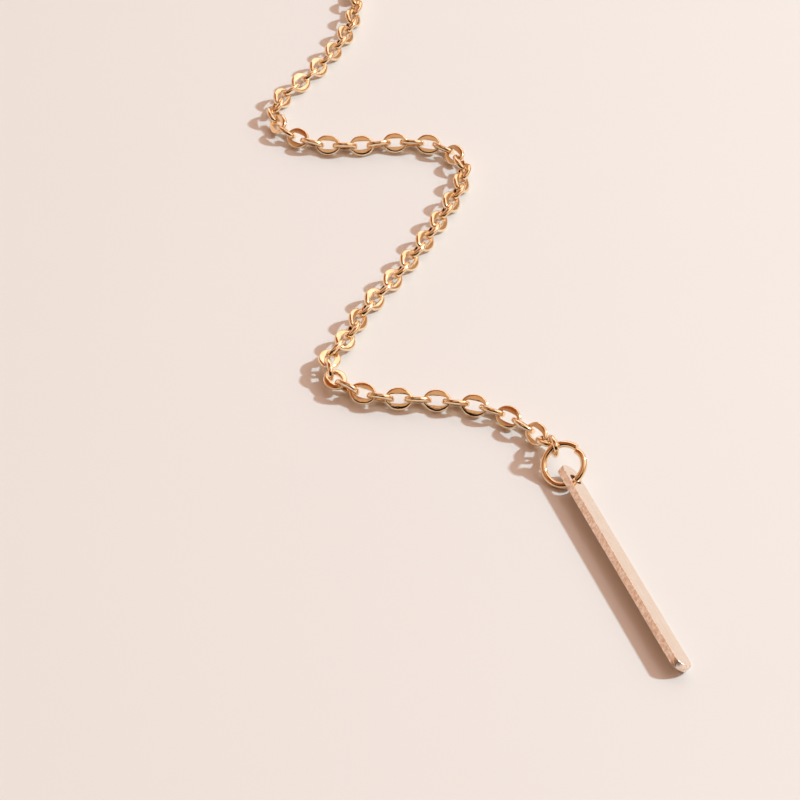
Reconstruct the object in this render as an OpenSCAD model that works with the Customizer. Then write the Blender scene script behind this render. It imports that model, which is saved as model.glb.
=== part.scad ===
/* [Bar pendant] */
// Length of the bar
bar_len = 35.6; // [20:0.1:45]
// Width of the bar's broad faces
bar_w = 2.6; // [2.5:0.1:2.8]
// Thickness of the bar between its broad faces
bar_t = 0.95; // [0.8:0.05:1.1]
// Radius of the bar's rounded corners
bar_corner = 1.2; // [0.2:0.05:1.2]
// Diameter of the hole near the bar's top end
bar_hole_d = 1.6; // [1.6:0.05:1.8]
// Distance from the bar's top end to the middle of its hole
bar_hole_in = 2.6; // [2:0.1:4]
// Angle that the broad faces slope down to the right, where the bar lies
bar_roll = 39; // [36:1:42]
// Direction in which the bar points along the surface
bar_heading = -70.9; // [-75:0.1:-65]

/* [Jump rings] */
// Diameter of the wire of the open ring that holds the bar
ring_wire = 0.8; // [0.7:0.05:0.85]
// Radius of that ring, to the middle of its wire
ring_r = 2.57; // [2.4:0.01:2.7]
// Width of that ring's gap, along the wire
ring_gap = 0.35; // [0.2:0.05:0.6]
// Wire diameter of the closed ring that joins the hanging strand to the neck chain
join_wire = 0.7; // [0.6:0.05:0.8]
// Radius of that closed ring, to the middle of its wire
join_r = 2.2; // [2.1:0.1:2.6]

/* [Chain] */
// Outer length of a link
link_len = 3.55; // [3.5:0.01:3.6]
// Outer width of a link
link_w = 2.95; // [2.9:0.01:3]
// Thickness of a link, across its flat faces
link_t = 0.58; // [0.55:0.01:0.6]
// Length of the opening in a link
link_hole_len = 2.72; // [2.7:0.01:2.75]
// Width of the opening in a link
link_hole_w = 1.5; // [1.48:0.01:1.52]
// Distance from one link to the next where the chain runs straight
pitch = 2.39; // [2.38:0.01:2.4]

/* [Clasp] */
// Wire diameter of the plain clasp ring
clasp_wire = 0.9; // [0.8:0.05:0.95]
// Radius of the clasp ring, to the middle of its wire
clasp_r = 2.3; // [2.2:0.05:2.4]
// Wire diameter of the clasp's small eye
eye_wire = 0.65; // [0.6:0.05:0.75]
// Radius of the clasp's small eye, to the middle of its wire
eye_r = 1.3; // [1.2:0.05:1.35]

/* [Hidden] */
$fn = 48;
gold = [0.87, 0.66, 0.38];

// The open ring leans: its own angle 0 is its lowest point, which touches the surface
ring_lean = 41;
ring_facing = 237;
ring_middle = [19.7, -14.62, ring_r * sin(ring_lean) + ring_wire / 2];
ring_gap_angle = 163;

// Roll of a link about the strand: every second link leans the other way
roll = 45;
// Roll of the last link at each end, where it stands up to hold a ring
end_roll = 78;
// Free play between a link and the wire that it holds
play = 0.14;

// The hanging strand from the bar's ring to the neck chain, a row for each stretch:
// number of links, turn from link to link, twist from link to link
drop_start = [15.98, -7.21];
drop_heading = 134.5;
drop_rows = [
    [2,    8.5,  0],
    [3,    9,    0],
    [3,    3,    0],
    [3,  -11,    6],
    [2,  -22.5, 13],
    [2,  -22,   13],
    [2,    8,   10],
    [3,   -4.5,  0],
    [11,   1,    0],
    [2,    8,    0],
    [2,   18.5,  0],
    [2,   21,    0],
    [3,    9,    0],
    [3,   -7,    0],
    [3,  -13.5,  0],
    [3,  -18,    0],
    [2,  -11.5,  0],
    [6,    2.5,  0],
    [4,    4,    0],
    [3,    4,   11]
];
// The three links that climb to the ring, a row for each:
// x, y and z of its middle, heading, rise, roll
climb_rows = [
    [18.53, -11.99, 2.75, -78,   34.2, 95.7],
    [17.96, -10.04, 1.81, -68.5, 20.9, -17.5],
    [16.7,   -8.16, 1.375, -51.7, 1.6, 54.6]
];

// One side of the neck chain, in the same columns
neck_heading = 34.8;
neck_rows = [
    [4,   0,  -11],
    [16,  0,    0],
    [63,  2.2,  0],
    [3,   2.2, -11]
];

function sum(v, n) = n < 0 ? 0 : v[n] + sum(v, n - 1);
function column(rows, c) = [for (row = rows) for (k = [1 : row[0]]) row[c]];
function running(v, first) = [for (i = 0, s = first; i < len(v); s = s + (i + 1 < len(v) ? v[i + 1] : 0), i = i + 1) s];
function toward(heading, rise) = [cos(heading) * cos(rise), sin(heading) * cos(rise), sin(rise)];

// Height of the middle of a link that touches the surface at this roll
function link_rest(a) = link_w / 2 * abs(sin(a)) + link_t / 2 * abs(cos(a));

// Roll of each link, from the rows' twists
function rolls(rows, first) =
    let (twist = running(column(rows, 2), 0))
    [for (i = [0 : len(twist) - 1]) twist[i] + (i % 2 == 0 ? first : first > 0 ? first - 90 : first + 90)];

// Height of each joint, so that no link reaches below the surface
function heights(r) =
    [for (i = [0 : len(r)]) max(link_rest(r[max(i - 1, 0)]), link_rest(r[min(i, len(r) - 1)]))];

// A bend or a twist brings neighbouring links closer together
function spacing(bend) = min(pitch, link_hole_len - 0.287 - 0.008 * bend);
function mean_spacing(bend, i) = (spacing(bend[i]) + spacing(bend[min(i + 1, len(bend) - 1)])) / 2;

// Joints of a strand of rigid links
function joints(rows, start, heading, r) =
    let (turn = column(rows, 1), twist = column(rows, 2), h = running(turn, heading), z = heights(r))
    let (bend = [for (i = [0 : len(turn) - 1]) abs(turn[i]) + abs(twist[i])])
    [for (i = 0, p = [start.x, start.y, z[0]]; i <= len(h);
          p = i < len(h) ? next_joint(p, h[i], z[i + 1], mean_spacing(bend, i)) : p, i = i + 1) p];
function next_joint(p, h, z, step) =
    let (run = sqrt(step * step - (z - p.z) * (z - p.z)))
    [p.x + run * cos(h), p.y + run * sin(h), z];

drop_rolls = rolls(drop_rows, roll);
drop_joints = joints(drop_rows, drop_start, drop_heading, drop_rolls);
drop_end = drop_joints[len(drop_joints) - 1];
drop_end_heading = drop_heading + sum(column(drop_rows, 1), len(drop_rolls) - 1) - drop_rows[0][1];

// From the last link's outer joint to the middle of the wire that it holds
function wire_reach(wire) = link_hole_len / 2 - wire / 2 - play - pitch / 2;
join_middle = drop_end + (wire_reach(join_wire) + join_r) * toward(drop_end_heading, 0);

// Middle of the whole piece as seen from above
middle = [join_middle.x, 97.602];

neck_rolls = rolls(neck_rows, end_roll);
neck_start = (join_r + wire_reach(join_wire)) * toward(neck_heading, 0);
neck_joints = joints(neck_rows, neck_start, neck_heading, neck_rolls);
neck_end = neck_joints[len(neck_joints) - 1];

// An oval of four tangent arcs: two end arcs of radius r and two wide side arcs
module oval(len, w, r) {
    d = len / 2 - r;
    side_r = (d * d + w * w / 4 - r * r) / (w - 2 * r);
    meet = side_r * d / (side_r - r);
    for (s = [-1, 1])
        translate([s * d, 0])
            circle(r);
    intersection() {
        translate([0, w / 2 - side_r])
            circle(side_r, $fn = 200);
        translate([0, side_r - w / 2])
            circle(side_r, $fn = 200);
        square([2 * meet, 2 * w], center = true);
    }
}

module link() {
    translate([0, 0, -link_t / 2])
        linear_extrude(link_t)
            difference() {
                oval(link_len, link_w, 0.8 * link_w / 2);
                oval(link_hole_len, link_hole_w, 0.94 * link_hole_w / 2);
            }
}

// Links from each joint to the next, rolled about the line between them
module strand(points, r) {
    for (i = [0 : len(r) - 1]) {
        d = points[i + 1] - points[i];
        translate((points[i] + points[i + 1]) / 2)
            rotate([r[i], -asin(d.z / norm(d)), atan2(d.y, d.x)])
                link();
    }
}

module torus(radius, wire, gap_angle = 0) {
    rotate([0, 0, gap_angle / 2])
        rotate_extrude(angle = 360 - gap_angle)
            translate([radius, 0])
                circle(d = wire);
}

module in_place() {
    translate([-middle.x, -middle.y, 0])
        children();
}

// Height of the bar's middle where its lower edge rests on the surface
bar_rest = bar_w / 2 * sin(bar_roll) + bar_t / 2 * cos(bar_roll);
// How far the open ring lifts the bar at its hole
bar_lift = 0.02;
// Middle of the bar's hole, where the open ring's wire passes through it
bar_hole_at = [20.78, -16.74, bar_rest + bar_lift];
bar_slope = asin(bar_lift / (bar_len - bar_hole_in));

module bar() {
    color(gold)
        in_place()
            translate(bar_hole_at)
                rotate([-bar_roll, bar_slope, bar_heading])
                    difference() {
                        translate([bar_len / 2 - bar_hole_in, 0, -bar_t / 2])
                            linear_extrude(bar_t)
                                bar_outline();
                        cylinder(h = 3 * bar_t, d = bar_hole_d, center = true);
                    }
}

module bar_outline() {
    square([bar_len, bar_w - 2 * bar_corner], center = true);
    square([bar_len - 2 * bar_corner, bar_w], center = true);
    for (x = [-1, 1], y = [-1, 1])
        translate([x * (bar_len / 2 - bar_corner), y * (bar_w / 2 - bar_corner)])
            circle(bar_corner);
}

module bar_ring() {
    gap_angle = 360 * ring_gap / (2 * PI * ring_r);
    color(gold)
        in_place()
            translate(ring_middle)
                rotate([0, ring_lean, ring_facing])
                    rotate([0, 0, ring_gap_angle])
                        torus(ring_r, ring_wire, gap_angle);
}

module drop_chain() {
    color(gold)
        in_place() {
            strand(drop_joints, drop_rolls);
            for (row = climb_rows)
                translate([row[0], row[1], row[2]])
                    rotate([row[5], -row[4], row[3]])
                        link();
        }
}

module join_ring() {
    color(gold)
        in_place()
            translate(join_middle)
                torus(join_r, join_wire);
}

module neck_side() {
    in_place()
        translate([join_middle.x, join_middle.y, 0])
            strand(neck_joints, neck_rolls);
}

module neck_chain_right() {
    color(gold)
        neck_side();
}

module neck_chain_left() {
    color(gold)
        translate([2 * (join_middle.x - middle.x), 0, 0])
            mirror([1, 0, 0])
                neck_side();
}

module clasp() {
    right_wire_x = neck_end.x - wire_reach(clasp_wire);
    left_wire_x = -neck_end.x + wire_reach(eye_wire);
    color(gold)
        in_place()
            translate([join_middle.x, join_middle.y + neck_end.y, neck_end.z]) {
                translate([right_wire_x - clasp_r, 0, 0])
                    torus(clasp_r, clasp_wire);
                translate([left_wire_x + eye_r, 0, 0])
                    torus(eye_r, eye_wire);
            }
}

bar();
bar_ring();
drop_chain();
join_ring();
neck_chain_right();
neck_chain_left();
clasp();
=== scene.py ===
import math
import random

import bpy
from mathutils import Matrix, Vector
from mathutils.geometry import tessellate_polygon


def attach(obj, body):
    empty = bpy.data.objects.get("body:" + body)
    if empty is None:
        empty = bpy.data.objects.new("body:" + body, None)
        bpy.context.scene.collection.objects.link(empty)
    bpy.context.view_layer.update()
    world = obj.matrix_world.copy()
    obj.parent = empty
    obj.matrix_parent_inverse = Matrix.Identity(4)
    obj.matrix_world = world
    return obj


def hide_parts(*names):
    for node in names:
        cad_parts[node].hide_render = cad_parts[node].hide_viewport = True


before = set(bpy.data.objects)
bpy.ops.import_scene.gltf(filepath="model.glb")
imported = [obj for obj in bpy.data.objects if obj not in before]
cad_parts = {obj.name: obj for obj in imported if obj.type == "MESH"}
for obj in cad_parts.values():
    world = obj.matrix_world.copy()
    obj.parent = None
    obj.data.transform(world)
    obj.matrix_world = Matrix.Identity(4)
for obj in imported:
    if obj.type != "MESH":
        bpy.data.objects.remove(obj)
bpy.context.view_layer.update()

MM = 0.001

# Sizes of the metal, in millimetres and degrees, as the solids have them
LINK = {"length": 3.55, "width": 2.95, "thickness": 0.58, "hole_length": 2.72}
JOIN_RING = {"radius": 2.2, "wire": 0.7}
BAR = {"length": 35.6, "width": 2.6, "thickness": 0.95, "corner": 1.2, "hole": 1.6, "hole_in": 2.6,
       "roll": 39, "heading": -70.9, "lift": 0.02, "hole_at": (20.78, -16.74)}
# The shown ring has a radius and a wire of its own, and one cut end that steps inward
OPEN_RING = {"radius": 2.57, "wire": 0.8, "gap": 0.35, "lean": 41, "facing": 237, "gap_at": 163,
             "middle": (19.7, -14.62), "shown_radius": 2.539, "shown_wire": 0.84,
             "step_in": 0.3, "step_span": 50}

# Distance from link to link where a strand runs straight, and what stays free in an opening:
# between a link and the wire it holds, between two links, and less for each degree of bend
PITCH = 2.39
PLAY = 0.14
SLACK = 0.287
SLACK_PER_DEGREE = 0.008

# How the hanging strand lies, a row for each stretch: links, turn and twist from link to link, degrees
DROP_START = (15.98, -7.21)
DROP_HEADING = 134.5
DROP_ROLL = 45
DROP_ROWS = [
    (2, 8.5, 0),
    (3, 9, 0),
    (3, 3, 0),
    (3, -11, 6),
    (2, -22.5, 13),
    (2, -22, 13),
    (2, 8, 10),
    (3, -4.5, 0),
    (11, 1, 0),
    (2, 8, 0),
    (2, 18.5, 0),
    (2, 21, 0),
    (3, 9, 0),
    (3, -7, 0),
    (3, -13.5, 0),
    (3, -18, 0),
    (2, -11.5, 0),
    (6, 2.5, 0),
    (4, 4, 0),
    (3, 4, 11),
]
# The links that climb to the open ring: x, y, z, heading, rise, roll
CLIMB_ROWS = [
    (18.53, -11.99, 2.75, -78, 34.2, 95.7),
    (17.96, -10.04, 1.81, -68.5, 20.9, -17.5),
    (16.7, -8.16, 1.375, -51.7, 1.6, 54.6),
]
# One side of the neck chain, in the same columns as the hanging strand
NECK_HEADING = 34.8
NECK_ROLL = 78
NECK_ROWS = [
    (4, 0, -11),
    (16, 0, 0),
    (63, 2.2, 0),
    (3, 2.2, -11),
]
# Where the middle of the part lies, along Y
MIDDLE_Y = 97.602

# A shown link: points on each arc of its outlines, the radius of their end arcs as a share of half
# their width, the points round its section, how square the section's outer and inner parts are,
# and the share of it that is the inner part
STATIONS = {"end": 10, "side": 9}
OUTER_END = 0.8
INNER_END = 0.94
SECTION_SIDES = 24
OUTER_SQUARENESS = 2.6
INNER_SQUARENESS = 12.0
INNER_SHARE = 0.42
LYING_LOOK = {"thickness": 0.66, "hole_width": 1.2}
CLIMBING_LOOK = {"thickness": 0.62, "hole_width": 1.36}
# Each link's streaks start somewhere of their own, up to this far along it
STREAK_SHIFT = 20

# Detail of the rings and the bar
RING_STATIONS = 120
WIRE_SIDES = 32
END_ROUNDING = 0.12
ROUNDING_STEPS = 4
BAR_EDGE = 0.06
TIP_EDGE = 0.16
CORNER_STEPS = 16
HOLE_SIDES = 48


def toward(heading, rise=0.0):
    """Unit vector at a heading and a rise, in degrees."""
    h, r = math.radians(heading), math.radians(rise)
    return Vector((math.cos(h) * math.cos(r), math.sin(h) * math.cos(r), math.sin(r)))


def rest_height(roll):
    """Height of the middle of a link that touches the surface at this roll."""
    a = math.radians(roll)
    return LINK["width"] / 2 * abs(math.sin(a)) + LINK["thickness"] / 2 * abs(math.cos(a))


def spacing(bend):
    """Distance from one link to the next, which a bend or a twist makes less."""
    return min(PITCH, LINK["hole_length"] - SLACK - SLACK_PER_DEGREE * bend)


def strand(rows, start, heading, first_roll):
    """Joints, rolls and last heading of a strand of rigid links that rests on the surface."""
    turns = [row[1] for row in rows for _ in range(row[0])]
    twists = [row[2] for row in rows for _ in range(row[0])]
    count = len(turns)
    odd_roll = first_roll - 90 if first_roll > 0 else first_roll + 90
    headings = [heading + sum(turns[1:i + 1]) for i in range(count)]
    rolls = [sum(twists[1:i + 1]) + (odd_roll if i % 2 else first_roll) for i in range(count)]
    heights = [max(rest_height(rolls[max(i - 1, 0)]), rest_height(rolls[min(i, count - 1)]))
               for i in range(count + 1)]
    bends = [abs(t) + abs(w) for t, w in zip(turns, twists)]
    joints = [Vector((start[0], start[1], heights[0]))]
    for i in range(count):
        step = (spacing(bends[i]) + spacing(bends[min(i + 1, count - 1)])) / 2
        rise = heights[i + 1] - heights[i]
        run = math.sqrt(step * step - rise * rise)
        flat = toward(headings[i])
        joints.append(joints[i] + Vector((run * flat.x, run * flat.y, rise)))
    return joints, rolls, headings[-1]


def placed(middle, heading, rise, roll):
    """Matrix of a link: turned about its length, tipped up, then headed."""
    turned = Matrix.Rotation(math.radians(roll), 4, "X")
    tipped = Matrix.Rotation(-math.radians(rise), 4, "Y")
    headed = Matrix.Rotation(math.radians(heading), 4, "Z")
    return Matrix.Translation(middle) @ headed @ tipped @ turned


def strand_places(joints, rolls):
    """Matrices of the links from each joint to the next."""
    places = []
    for a, b, roll in zip(joints, joints[1:], rolls):
        d = b - a
        rise = math.degrees(math.asin(d.z / d.length))
        places.append(placed((a + b) / 2, math.degrees(math.atan2(d.y, d.x)), rise, roll))
    return places


def wire_reach(wire):
    """From a link's outer joint to the middle of the wire that it holds."""
    return LINK["hole_length"] / 2 - wire / 2 - PLAY - PITCH / 2


drop_joints, drop_rolls, drop_end_heading = strand(DROP_ROWS, DROP_START, DROP_HEADING, DROP_ROLL)
ring_reach = wire_reach(JOIN_RING["wire"]) + JOIN_RING["radius"]
join_middle = drop_joints[-1] + ring_reach * toward(drop_end_heading)
neck_start = ring_reach * toward(NECK_HEADING)
neck_joints, neck_rolls, _ = strand(NECK_ROWS, neck_start, NECK_HEADING, NECK_ROLL)
ORIGIN = Vector((join_middle.x, MIDDLE_Y, 0))
to_part = Matrix.Scale(MM, 4) @ Matrix.Translation(-ORIGIN)


def oval(length, width, end_radius):
    """Points round two end arcs and two wide side arcs, all tangent, as many on each at every size."""
    d = length / 2 - end_radius
    side_radius = (d * d + width * width / 4 - end_radius ** 2) / (width - 2 * end_radius)
    side_y = width / 2 - side_radius
    meet = math.atan2(side_radius - width / 2, d)
    ends, sides = STATIONS["end"], STATIONS["side"]
    arcs = [
        (Vector((d, 0)), end_radius, -meet, meet, ends),
        (Vector((0, side_y)), side_radius, meet, math.pi - meet, sides),
        (Vector((-d, 0)), end_radius, math.pi - meet, math.pi + meet, ends),
        (Vector((0, -side_y)), side_radius, math.pi + meet, 2 * math.pi - meet, sides),
    ]
    points = []
    for centre, radius, first, last, steps in arcs:
        for k in range(steps):
            a = first + (last - first) * k / steps
            points.append(centre + radius * Vector((math.cos(a), math.sin(a))))
    return points


def link_section(outer, inner, thickness):
    """Section of a link from a point of its outer outline to one of its inner, rounder outside."""
    span = (inner - outer).length
    across = (inner - outer) / span
    points = []
    for k in range(SECTION_SIDES):
        a = 2 * math.pi * (k + 0.5) / SECTION_SIDES
        outside = math.cos(a) > 0
        squareness = OUTER_SQUARENESS if outside else INNER_SQUARENESS
        reach = 1 - INNER_SHARE if outside else -INNER_SHARE
        x = abs(math.cos(a)) ** (2 / squareness) * reach
        z = math.copysign(abs(math.sin(a)) ** (2 / squareness), math.sin(a))
        p = outer + across * span * (1 - INNER_SHARE - x)
        points.append(Vector((p.x, p.y, z * thickness / 2)))
    return points


def link_rings(look):
    """Sections all the way round a link."""
    hole_width = look["hole_width"]
    outer = oval(LINK["length"], LINK["width"], OUTER_END * LINK["width"] / 2)
    inner = oval(LINK["hole_length"], hole_width, INNER_END * hole_width / 2)
    return [link_section(a, b, look["thickness"]) for a, b in zip(outer, inner)]


def add_tube(rings, closed, verts, faces, uvs, matrix, shift):
    """Skins a row of equal sections. U runs along it in millimetres from a shift, V round it to 1."""
    base = len(verts)
    sides = len(rings[0])
    for ring in rings:
        verts.extend(matrix @ p for p in ring)
    along = 0.0
    count = len(rings) if closed else len(rings) - 1
    for i in range(count):
        j = (i + 1) % len(rings)
        step = sum((a - b).length for a, b in zip(rings[i], rings[j])) / sides
        here, there = base + i * sides, base + j * sides
        u0, u1 = along + shift, along + step + shift
        for k in range(sides):
            m = (k + 1) % sides
            faces.append((here + k, here + m, there + m, there + k))
            v0, v1 = k / sides, (k + 1) / sides
            uvs.extend([(u0, v0), (u0, v1), (u1, v1), (u1, v0)])
        along += step


def make_piece(name, node, verts, faces, uvs, material):
    """One smooth mesh that rides with the part and stands for a node."""
    mesh = bpy.data.meshes.new(name)
    mesh.from_pydata(verts, [], faces)
    layer = mesh.uv_layers.new(name="UVMap")
    for loop, uv in zip(layer.data, uvs):
        loop.uv = uv
    mesh.shade_smooth()
    mesh.materials.append(material)
    piece = bpy.data.objects.new(name, mesh)
    bpy.context.scene.collection.objects.link(piece)
    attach(piece, "root")
    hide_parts(node)
    return piece


def make_chain(name, runs, material, node, seed):
    """A chain of separate links as one piece. Each run is the places of links and their look."""
    draw = random.Random(seed)
    verts, faces, uvs = [], [], []
    for places, look in runs:
        rings = link_rings(look)
        for place in places:
            shift = STREAK_SHIFT * draw.random()
            add_tube(rings, True, verts, faces, uvs, to_part @ place, shift)
    make_piece(name, node, verts, faces, uvs, material)


def wire_section(middle, outward, up, radius):
    """Round section of a wire, in the plane of two directions."""
    angles = [2 * math.pi * k / WIRE_SIDES for k in range(WIRE_SIDES)]
    return [middle + radius * (math.cos(a) * outward + math.sin(a) * up) for a in angles]


def make_open_ring(material):
    """The open ring: round wire whose one cut end steps inward past the other."""
    ring, shown_radius, wire = OPEN_RING, OPEN_RING["shown_radius"], OPEN_RING["shown_wire"] / 2
    up = Vector((0, 0, 1))
    half_gap = math.degrees(ring["gap"] / 2 / ring["radius"])
    sections = []
    for k in range(RING_STATIONS + 1):
        angle = half_gap + (360 - 2 * half_gap) * k / RING_STATIONS
        near_end = max(0, 1 - (360 - angle) / ring["step_span"])
        radius = shown_radius - ring["step_in"] * near_end ** 2
        sections.append(wire_section(radius * toward(angle), toward(angle), up, wire))
    end_radius = shown_radius - ring["step_in"] * (1 - half_gap / ring["step_span"]) ** 2
    start, end = toward(half_gap), toward(-half_gap)
    past_start, past_end = toward(half_gap + 90), toward(-half_gap + 90)
    first, last = [], []
    for k in range(1, ROUNDING_STEPS + 1):
        turn = math.pi / 2 * k / ROUNDING_STEPS
        out = END_ROUNDING * math.sin(turn)
        thinner = wire - END_ROUNDING * (1 - math.cos(turn))
        first.insert(0, wire_section(shown_radius * start - out * past_start, start, up, thinner))
        last.append(wire_section(end_radius * end + out * past_end, end, up, thinner))
    sections = first + sections + last
    lean = Matrix.Rotation(math.radians(ring["lean"]), 4, "Y")
    facing = Matrix.Rotation(math.radians(ring["facing"]), 4, "Z")
    gap_at = Matrix.Rotation(math.radians(ring["gap_at"]), 4, "Z")
    height = ring["radius"] * math.sin(math.radians(ring["lean"])) + ring["wire"] / 2
    place = Matrix.Translation((*ring["middle"], height)) @ facing @ lean @ gap_at
    verts, faces, uvs = [], [], []
    add_tube(sections, False, verts, faces, uvs, to_part @ place, 0)
    for cap in (range(WIRE_SIDES - 1, -1, -1), range(len(verts) - WIRE_SIDES, len(verts))):
        faces.append(tuple(cap))
        uvs.extend([(0.0, k / WIRE_SIDES) for k in range(WIRE_SIDES)])
    piece = make_piece("open_ring", "bar_ring", verts, faces, uvs, material)
    for cap in piece.data.polygons[-2:]:
        cap.use_smooth = False


def make_join_ring(material):
    """The closed ring between the hanging strand and the neck chain."""
    up = Vector((0, 0, 1))
    radius, wire = JOIN_RING["radius"], JOIN_RING["wire"] / 2
    outwards = [toward(360 * k / RING_STATIONS) for k in range(RING_STATIONS)]
    sections = [wire_section(radius * outward, outward, up, wire) for outward in outwards]
    verts, faces, uvs = [], [], []
    add_tube(sections, True, verts, faces, uvs, to_part @ Matrix.Translation(join_middle), 0)
    make_piece("closed_ring", "join_ring", verts, faces, uvs, material)


def bar_outline():
    """Plan of the bar: points, outward directions and the radius of the edge there."""
    points = []
    for quarter, (sx, sy) in enumerate([(1, 1), (-1, 1), (-1, -1), (1, -1)]):
        x = sx * (BAR["length"] / 2 - BAR["corner"])
        y = sy * (BAR["width"] / 2 - BAR["corner"])
        corner = Vector((x, y, 0))
        for k in range(CORNER_STEPS + 1):
            outward = toward(90 * quarter + 90 * k / CORNER_STEPS)
            edge = BAR_EDGE + (TIP_EDGE - BAR_EDGE) * max(0, outward.x) ** 2
            points.append((corner + BAR["corner"] * outward, outward, edge))
    return points


def hole_outline():
    """The hole's circle in the same form, with directions that point into the hole."""
    middle = Vector((BAR["hole_in"] - BAR["length"] / 2, 0, 0))
    points = []
    for k in range(HOLE_SIDES):
        outward = toward(-360 * k / HOLE_SIDES)
        points.append((middle + BAR["hole"] / 2 * outward, -outward, BAR_EDGE))
    return points


def make_bar(face_gold, side_gold):
    """The bar: flat faces, rounded corners and edges, and a hole for the ring."""
    half = BAR["thickness"] / 2
    turns = [90 * k / ROUNDING_STEPS for k in range(ROUNDING_STEPS + 1)]
    rises = [(-1, turn) for turn in reversed(turns)] + [(1, turn) for turn in turns]
    verts, normals, faces, slots = [], [], [], []
    caps = {-1: [], 1: []}
    for points in (bar_outline(), hole_outline()):
        count = len(points)
        rows = []
        for side, rise in rises:
            a = math.radians(rise)
            rows.append(range(len(verts), len(verts) + count))
            for p, outward, edge in points:
                height = side * (half - edge * (1 - math.sin(a)))
                verts.append(p - edge * (1 - math.cos(a)) * outward + Vector((0, 0, height)))
                normals.append(math.cos(a) * outward + Vector((0, 0, side * math.sin(a))))
        for low, high in zip(rows, rows[1:]):
            for k in range(count):
                m = (k + 1) % count
                faces.append((low[k], low[m], high[m], high[k]))
                slots.append(1)
        caps[-1].append(rows[0])
        caps[1].append(rows[-1])
    for side, loops in caps.items():
        order = [k for loop in loops for k in loop]
        for a, b, c in tessellate_polygon([[verts[k] for k in loop] for loop in loops]):
            a, b, c = order[a], order[b], order[c]
            up = (verts[b] - verts[a]).cross(verts[c] - verts[a]).z
            faces.append((a, b, c) if up * side > 0 else (a, c, b))
            slots.append(0)
    uvs = [(verts[k].x, verts[k].y + verts[k].z) for face in faces for k in face]
    roll = math.radians(BAR["roll"])
    rest = BAR["width"] / 2 * math.sin(roll) + BAR["thickness"] / 2 * math.cos(roll)
    slope = math.degrees(math.asin(BAR["lift"] / (BAR["length"] - BAR["hole_in"])))
    from_hole = Matrix.Translation((BAR["length"] / 2 - BAR["hole_in"], 0, 0))
    hole_at = Vector((*BAR["hole_at"], rest + BAR["lift"]))
    place = to_part @ placed(hole_at, BAR["heading"], -slope, -BAR["roll"]) @ from_hole
    piece = make_piece("flat_bar", "bar", [place @ v for v in verts], faces, uvs, face_gold)
    piece.data.materials.append(side_gold)
    for face, slot in zip(piece.data.polygons, slots):
        face.material_index = slot
    turn = place.to_3x3()
    piece.data.normals_split_custom_set_from_vertices([(turn @ n).normalized() for n in normals])


# Sockets of a Mix node that mixes colours
MIX_FACTOR, MIX_A, MIX_B, MIX_RESULT = 0, 6, 7, 2

# Patterns of the golds: scales per metre, how finely they break up, where their noise takes full
# effect, and the height of their relief in metres
BLOTCH_SCALE = 900.0
SIDE_BLOTCH_SCALE = 2600.0
DENT_SCALE = 1500.0
STREAK_DETAIL = 4.0
BLOTCH_DETAIL = 3.0
DENT_DETAIL = 2.0
BLOTCH_EDGES = (0.38, 0.62)
STREAK_EDGES = (0.35, 0.7)
RELIEF_HEIGHT = 0.00006


def principled(name, color, roughness, metallic=1.0):
    """A new material with its node tree and its shader."""
    material = bpy.data.materials.new(name)
    material.use_nodes = True
    tree = material.node_tree
    shader = tree.nodes["Principled BSDF"]
    shader.inputs["Base Color"].default_value = (*color, 1)
    shader.inputs["Metallic"].default_value = metallic
    shader.inputs["Roughness"].default_value = roughness
    return material, tree, shader


def add_noise(tree, vector, scale, detail):
    """A noise pattern over a vector."""
    noise = tree.nodes.new("ShaderNodeTexNoise")
    noise.inputs["Scale"].default_value = scale
    noise.inputs["Detail"].default_value = detail
    tree.links.new(vector, noise.inputs["Vector"])
    return noise.outputs["Fac"]


def add_range(tree, value, source, target=(0.0, 1.0)):
    """Maps one range of a value onto another."""
    ranged = tree.nodes.new("ShaderNodeMapRange")
    ranged.inputs["From Min"].default_value, ranged.inputs["From Max"].default_value = source
    ranged.inputs["To Min"].default_value, ranged.inputs["To Max"].default_value = target
    tree.links.new(value, ranged.inputs["Value"])
    return ranged.outputs["Result"]


def add_mix(tree, share, first, second):
    """Lays a colour over another by a share. The first may be the output of a node."""
    mix = tree.nodes.new("ShaderNodeMix")
    mix.data_type = "RGBA"
    if isinstance(first, bpy.types.NodeSocket):
        tree.links.new(first, mix.inputs[MIX_A])
    else:
        mix.inputs[MIX_A].default_value = (*first, 1)
    mix.inputs[MIX_B].default_value = (*second, 1)
    tree.links.new(share, mix.inputs[MIX_FACTOR])
    return mix.outputs[MIX_RESULT]


def add_bump(tree, height, strength, distance, normal=None):
    """Relief from a height, on top of another relief where there is one."""
    bump = tree.nodes.new("ShaderNodeBump")
    bump.inputs["Strength"].default_value = strength
    bump.inputs["Distance"].default_value = distance
    tree.links.new(height, bump.inputs["Height"])
    if normal:
        tree.links.new(normal, bump.inputs["Normal"])
    return bump.outputs["Normal"]


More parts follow.
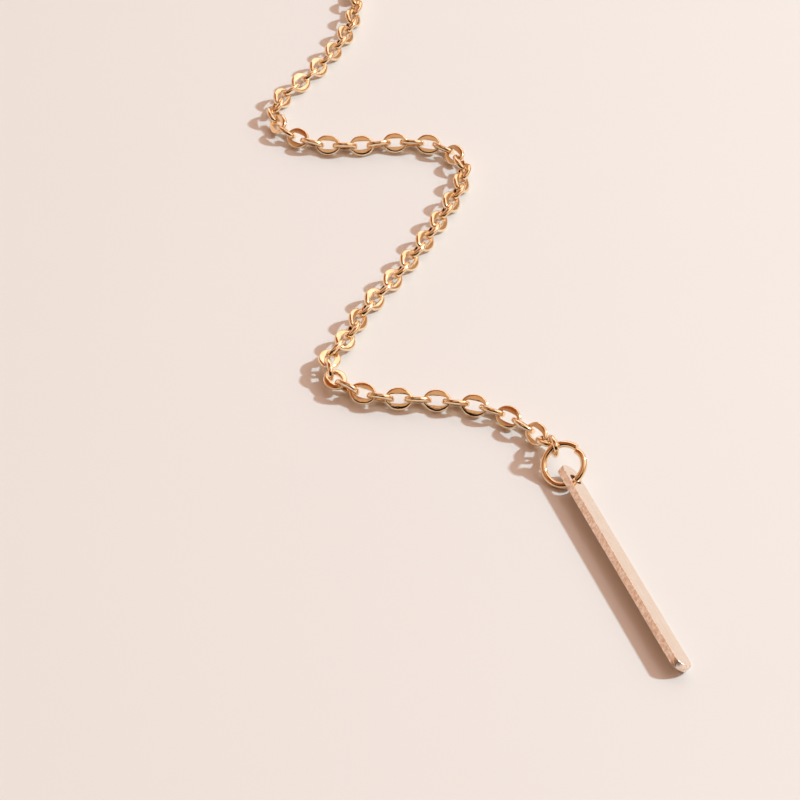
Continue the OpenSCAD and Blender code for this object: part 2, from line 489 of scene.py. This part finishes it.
def gold(name, colors, roughness, streaks, grooves, dents, blotches=BLOTCH_SCALE):
    """Polished warm gold with two colours in blotches, streaks along the metal and small dents."""
    light, deep = colors
    material, tree, shader = principled(name, light, roughness[0])
    place = tree.nodes.new("ShaderNodeTexCoord")
    stretch = tree.nodes.new("ShaderNodeMapping")
    stretch.inputs["Scale"].default_value = streaks
    tree.links.new(place.outputs["UV"], stretch.inputs["Vector"])
    streak = add_noise(tree, stretch.outputs["Vector"], 1.0, STREAK_DETAIL)
    blotch = add_noise(tree, place.outputs["Object"], blotches, BLOTCH_DETAIL)
    dent = add_noise(tree, place.outputs["Object"], DENT_SCALE, DENT_DETAIL)
    color = add_mix(tree, add_range(tree, blotch, BLOTCH_EDGES), light, deep)
    gloss = add_range(tree, streak, STREAK_EDGES, roughness)
    relief = add_bump(tree, streak, grooves, RELIEF_HEIGHT)
    hollows = add_bump(tree, dent, dents, RELIEF_HEIGHT, relief)
    tree.links.new(color, shader.inputs["Base Color"])
    tree.links.new(gloss, shader.inputs["Roughness"])
    tree.links.new(hollows, shader.inputs["Normal"])
    return material


GOLD = ((0.98, 0.80, 0.585), (0.95, 0.70, 0.43))
FACE_GOLD = ((0.94, 0.82, 0.71), (0.92, 0.77, 0.63))
SIDE_GOLD = ((1.0, 0.89, 0.79), (0.82, 0.6, 0.46))
chain_gold = gold("chain_gold", GOLD, roughness=(0.04, 0.12),
                  streaks=(0.5, 12.0, 1.0), grooves=0.5, dents=0.35)
ring_gold = gold("ring_gold", GOLD, roughness=(0.04, 0.08),
                 streaks=(0.3, 5.0, 1.0), grooves=0.15, dents=0.25)
bar_face_gold = gold("bar_face_gold", FACE_GOLD, roughness=(0.16, 0.24),
                     streaks=(0.1, 1.2, 1.0), grooves=0.15, dents=0.05)
bar_side_gold = gold("bar_side_gold", SIDE_GOLD, roughness=(0.26, 0.42),
                     streaks=(1.2, 5.0, 1.0), grooves=1.0, dents=1.0, blotches=SIDE_BLOTCH_SCALE)
clasp_gold = gold("clasp_gold", GOLD, roughness=(0.05, 0.12),
                  streaks=(1.0, 1.0, 1.0), grooves=0.1, dents=0.2)

# The hanging strand
climb_places = [placed(Vector(row[:3]), *row[3:]) for row in CLIMB_ROWS]
drop_runs = [(strand_places(drop_joints, drop_rolls), LYING_LOOK), (climb_places, CLIMBING_LOOK)]
make_chain("drop_links", drop_runs, chain_gold, "drop_chain", 1)

# The neck chain. Each link on the left is mirrored twice, so that its faces still point outward
to_neck = Matrix.Translation((join_middle.x, join_middle.y, 0))
neck_places = [to_neck @ place for place in strand_places(neck_joints, neck_rolls)]
other_side = (Matrix.Translation((join_middle.x, 0, 0)) @ Matrix.Scale(-1, 4, (1, 0, 0))
              @ Matrix.Translation((-join_middle.x, 0, 0)))
left_places = [other_side @ place @ Matrix.Scale(-1, 4, (0, 0, 1)) for place in neck_places]
make_chain("neck_links_right", [(neck_places, LYING_LOOK)], chain_gold, "neck_chain_right", 2)
make_chain("neck_links_left", [(left_places, LYING_LOOK)], chain_gold, "neck_chain_left", 3)

# The bar, the rings and the clasp
make_bar(bar_face_gold, bar_side_gold)
make_open_ring(ring_gold)
make_join_ring(ring_gold)
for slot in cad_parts["clasp"].material_slots:
    slot.material = clasp_gold


# Floor, in metres, with clouds a little darker than its colour and a fine grain
FLOOR_HALF = 6.0
FLOOR_COLOR = (0.82, 0.77, 0.75)
FLOOR_ROUGHNESS = 0.75
CLOUD_SCALE = 18.0
CLOUD_DETAIL = 3.0
CLOUD_SHADE = 0.975
GRAIN_SCALE = 1200.0
GRAIN_DETAIL = 2.0
GRAIN_STRENGTH = 0.15
GRAIN_HEIGHT = 0.00005


def make_floor():
    """A wide sheet of pale paper."""
    half = FLOOR_HALF
    corners = [(-half, -half, 0), (half, -half, 0), (half, half, 0), (-half, half, 0)]
    mesh = bpy.data.meshes.new("floor")
    mesh.from_pydata(corners, [], [(0, 1, 2, 3)])
    material, tree, shader = principled("floor_paper", FLOOR_COLOR, FLOOR_ROUGHNESS, metallic=0.0)
    place = tree.nodes.new("ShaderNodeTexCoord").outputs["Object"]
    cloud = add_noise(tree, place, CLOUD_SCALE, CLOUD_DETAIL)
    grain = add_noise(tree, place, GRAIN_SCALE, GRAIN_DETAIL)
    tint = add_mix(tree, cloud, FLOOR_COLOR, [CLOUD_SHADE * c for c in FLOOR_COLOR])
    relief = add_bump(tree, grain, GRAIN_STRENGTH, GRAIN_HEIGHT)
    tree.links.new(tint, shader.inputs["Base Color"])
    tree.links.new(relief, shader.inputs["Normal"])
    mesh.materials.append(material)
    floor = bpy.data.objects.new("floor", mesh)
    bpy.context.scene.collection.objects.link(floor)


# The room, as soft-edged round patches laid one over another: azimuth and elevation of the middle,
# half-width of the full patch, half-width where it ends (degrees), colour
ROOM_BASE = (0.50, 0.29, 0.17)
WINDOW = (1.5, 1.22, 1.05)
UNLIT = (0.02, 0.008, 0.004)
ROOM_PATCHES = [
    (0, 90, 38, 58, (0.30, 0.08, 0.02)),
    (-20, 46, 18, 26, WINDOW),
    (19, 46, 20, 26, WINDOW),
    (55, 40, 20, 26, WINDOW),
    (88, 41, 20, 26, WINDOW),
    (150, 0, 18, 30, (0.88, 0.64, 0.52)),
    (-35, 18, 16, 26, (0.65, 0.45, 0.30)),
    (-104, 61, 19, 26, (0.66, 0.43, 0.27)),
    (-128, 20, 20, 25, UNLIT),
    (-103, 18, 21, 26, UNLIT),
    (-78, 20, 20, 25, UNLIT),
    (-90, 34, 9, 13, UNLIT),
]


def make_world():
    """The light of the room, and what the metal mirrors."""
    world = bpy.data.worlds.new("studio")
    world.use_nodes = True
    bpy.context.scene.world = world
    tree = world.node_tree
    place = tree.nodes.new("ShaderNodeTexCoord")
    color = ROOM_BASE
    for azimuth, elevation, full, edge, patch in ROOM_PATCHES:
        near = tree.nodes.new("ShaderNodeVectorMath")
        near.operation = "DOT_PRODUCT"
        near.inputs[1].default_value = toward(azimuth, elevation)
        tree.links.new(place.outputs["Generated"], near.inputs[0])
        share = tree.nodes.new("ShaderNodeMapRange")
        share.interpolation_type = "SMOOTHSTEP"
        share.inputs["From Min"].default_value = math.cos(math.radians(edge))
        share.inputs["From Max"].default_value = math.cos(math.radians(full))
        tree.links.new(near.outputs["Value"], share.inputs["Value"])
        color = add_mix(tree, share.outputs["Result"], color, patch)
    tree.links.new(color, tree.nodes["Background"].inputs["Color"])


# Camera, in degrees and millimetres
CAMERA_ELEVATION = 40
CAMERA_DISTANCE = 337.5
FOCAL = 121.5
SENSOR_WIDTH = 36
# Nearest and farthest distance that the camera sees, and the middle of its view, in metres
CLIP_START = 0.01
CLIP_END = 50
VIEW_MIDDLE = MM * Vector((-ORIGIN.x, -ORIGIN.y, 0))
# Lamp, in degrees and metres
LAMP = {"azimuth": 9, "elevation": 39, "distance": 1.2, "side": 0.06, "radiance": 1140.0,
        "color": (0.655, 0.90, 1.0)}


def make_lamp():
    """A square area light that faces the middle of the view, with a given radiance."""
    direction, side = toward(LAMP["azimuth"], LAMP["elevation"]), LAMP["side"]
    light = bpy.data.lights.new("key", "AREA")
    light.shape = "RECTANGLE"
    light.size = side
    light.size_y = side
    light.energy = LAMP["radiance"] * math.pi * side * side
    light.color = LAMP["color"]
    lamp = bpy.data.objects.new("key", light)
    lamp.location = VIEW_MIDDLE + LAMP["distance"] * direction
    lamp.rotation_euler = (-direction).to_track_quat("-Z", "Y").to_euler()
    bpy.context.scene.collection.objects.link(lamp)


def make_camera():
    """The camera, which looks from -Y down at the middle of the view."""
    camera = bpy.data.cameras.new("camera")
    camera.lens = FOCAL
    camera.sensor_width = SENSOR_WIDTH
    camera.sensor_fit = "HORIZONTAL"
    camera.clip_start = CLIP_START
    camera.clip_end = CLIP_END
    eye = bpy.data.objects.new("camera", camera)
    eye.location = VIEW_MIDDLE + MM * CAMERA_DISTANCE * toward(-90, CAMERA_ELEVATION)
    eye.rotation_euler = (math.radians(90 - CAMERA_ELEVATION), 0, 0)
    bpy.context.scene.collection.objects.link(eye)
    bpy.context.scene.camera = eye


make_floor()
make_world()
make_lamp()
make_camera()
bpy.context.scene.view_settings.view_transform = "Standard"
